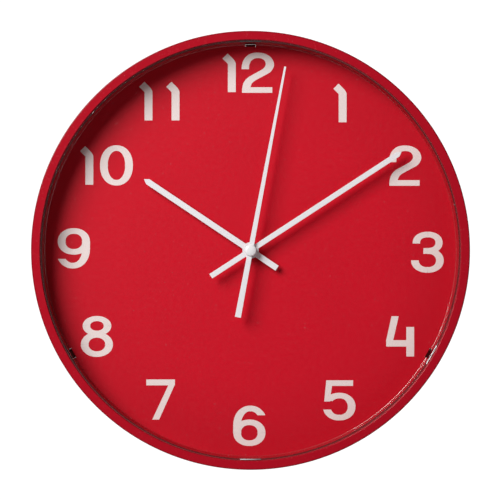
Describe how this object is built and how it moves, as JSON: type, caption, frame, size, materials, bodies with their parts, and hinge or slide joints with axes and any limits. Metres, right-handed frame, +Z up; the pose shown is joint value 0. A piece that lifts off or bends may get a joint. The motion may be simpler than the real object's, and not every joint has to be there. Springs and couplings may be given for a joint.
{
  "type": "wall clock",
  "caption": "Round moulded wall clock with a deep recessed dial, clear snap-in lens, three white hands and a quartz movement behind.",
  "frame": {"origin": "middle of the case's box, on the hand axis, halfway between the front ring and the wall", "axes": "+Z up, towards 12 o'clock; +X to the viewer's right; +Y from the viewer to the wall, along the hand axis"},
  "size_m": [0.28, 0.04, 0.28],
  "materials": {
    "case": "satin red moulding",
    "lens": "clear moulded styrene",
    "hands": "white enamel on stamped strip",
    "hand_cap": "white moulding",
    "natural_acetal": "natural moulding",
    "yellow_acetal": "coloured moulding",
    "steel": "plain steel",
    "magnet": "bonded ferrite",
    "stator_iron": "annealed lamination",
    "black_plastic": "fine textured moulding",
    "copper_wire": "enamelled copper wire",
    "board": "phenolic board",
    "epoxy": "potting resin",
    "grey_plastic": "textured moulding",
    "nickel": "nickel plated strip",
    "battery_jacket": "plain printed sleeve, no marks"
  },
  "bodies": {
    "case": {"case_shell": "case", "front_lens": "lens", "movement_front_case": "black_plastic", "movement_rear_cover": "grey_plastic", "circuit_board": "board", "ic_cover": "epoxy", "quartz_crystal": "steel", "stator": "stator_iron", "coil_core": "stator_iron", "core_screw_left": "steel", "core_screw_right": "steel", "coil_bobbin": "black_plastic", "coil_winding": "copper_wire", "battery_contact_positive": "nickel", "battery_contact_negative": "nickel", "battery_spring": "nickel", "hanger_plate": "steel"},
    "hour": {"hour_hand": "hands", "hour_wheel": "natural_acetal"},
    "minute": {"minute_hand": "hands", "cannon_pinion": "yellow_acetal", "centre_wheel": "natural_acetal"},
    "second": {"second_hand": "hands", "second_hand_cap": "hand_cap", "seconds_arbor": "steel", "seconds_wheel": "yellow_acetal"},
    "motion_wheel": {"minute_wheel": "yellow_acetal"},
    "third": {"third_wheel": "natural_acetal"},
    "intermediate": {"intermediate_wheel": "natural_acetal"},
    "rotor": {"rotor_magnet": "magnet", "rotor_pinion": "yellow_acetal"},
    "setting": {"setting_knob": "black_plastic", "setting_pinion": "yellow_acetal"},
    "battery": {"aa_battery": "battery_jacket"}
  },
  "joints": [
    {"name": "minute_hand_turn", "type": "hinge", "parent": "case", "child": "minute", "pos_m": [0, 0, 0], "axis": [0, 1, 0], "continuous": true},
    {"name": "hour_hand_turn", "type": "hinge", "parent": "case", "child": "hour", "pos_m": [0, 0, 0], "axis": [0, 1, 0], "continuous": true},
    {"name": "second_hand_turn", "type": "hinge", "parent": "case", "child": "second", "pos_m": [0, 0, 0], "axis": [0, 1, 0], "continuous": true},
    {"name": "motion_wheel_turn", "type": "hinge", "parent": "case", "child": "motion_wheel", "pos_m": [0.009, 0, 0], "axis": [0, 1, 0], "continuous": true},
    {"name": "third_wheel_turn", "type": "hinge", "parent": "case", "child": "third", "pos_m": [-0.0085, 0, 0], "axis": [0, 1, 0], "continuous": true},
    {"name": "intermediate_wheel_turn", "type": "hinge", "parent": "case", "child": "intermediate", "pos_m": [-0.00287, 0, 0.00789], "axis": [0, 1, 0], "continuous": true},
    {"name": "rotor_turn", "type": "hinge", "parent": "case", "child": "rotor", "pos_m": [0.00013, 0, 0.01309], "axis": [0, 1, 0], "continuous": true},
    {"name": "setting_knob_turn", "type": "hinge", "parent": "case", "child": "setting", "pos_m": [0.01769, 0, 0.00233], "axis": [0, 1, 0], "continuous": true},
    {"name": "battery_slide", "type": "slide", "parent": "case", "child": "battery", "axis": [0, 1, 0], "range_m": [0, 0.03]}
  ],
  "couplings": [
    {"joint": "hour_hand_turn", "follows": "minute_hand_turn", "ratio": 0.083333},
    {"joint": "second_hand_turn", "follows": "minute_hand_turn", "ratio": 60},
    {"joint": "motion_wheel_turn", "follows": "minute_hand_turn", "ratio": -0.33333},
    {"joint": "third_wheel_turn", "follows": "minute_hand_turn", "ratio": -8},
    {"joint": "intermediate_wheel_turn", "follows": "minute_hand_turn", "ratio": -360},
    {"joint": "rotor_turn", "follows": "minute_hand_turn", "ratio": 1800},
    {"joint": "setting_knob_turn", "follows": "minute_hand_turn", "ratio": 1}
  ]
}
